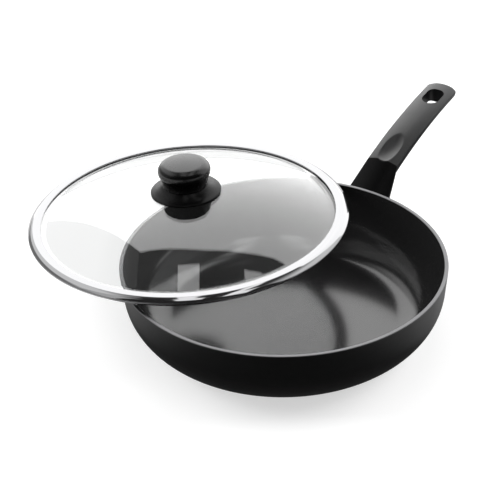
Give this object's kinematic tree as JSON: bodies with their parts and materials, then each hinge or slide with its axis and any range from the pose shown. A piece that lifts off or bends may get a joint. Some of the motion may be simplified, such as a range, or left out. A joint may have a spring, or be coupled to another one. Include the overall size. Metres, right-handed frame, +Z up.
{
  "type": "saute pan with glass lid",
  "caption": "Deep round non-stick saute pan with a long moulded handle and a domed glass lid with steel band and knob, the lid laid off centre on the rim.",
  "frame": {"origin": "centre of the base's underside, where the pan stands on a hob", "axes": "+X along the handle, away from the pan; +Z up"},
  "size_m": [0.4379, 0.3976, 0.1292],
  "materials": {
    "pan_coat": "satin black coat outside, glossy dark grey non-stick inside, bare metal rim",
    "base_steel": "turned steel",
    "bracket_steel": "plain pressed steel",
    "handle_moulding": "satin black with a fine grain",
    "fastener_steel": "plain steel",
    "lid_glass": "clear",
    "band_steel": "polished stainless steel",
    "knob_moulding": "satin black",
    "insert_brass": "plain brass",
    "grommet_rubber": "matte"
  },
  "bodies": {
    "pan": {"pan_body": "pan_coat", "induction_base": "base_steel", "handle_bracket": "bracket_steel", "handle_grip": "handle_moulding", "handle_washer": "fastener_steel", "handle_screw": "fastener_steel"},
    "lid": {"lid_glass": "lid_glass", "lid_band": "band_steel", "knob_grip": "knob_moulding", "knob_skirt": "knob_moulding", "knob_insert": "insert_brass", "knob_grommet": "grommet_rubber", "knob_washer": "fastener_steel", "knob_screw": "fastener_steel"}
  },
  "joints": [
    {"name": "lid_lift", "type": "slide", "parent": "pan", "child": "lid", "axis": [0, 0, 1], "range_m": [0, 0.15]}
  ]
}
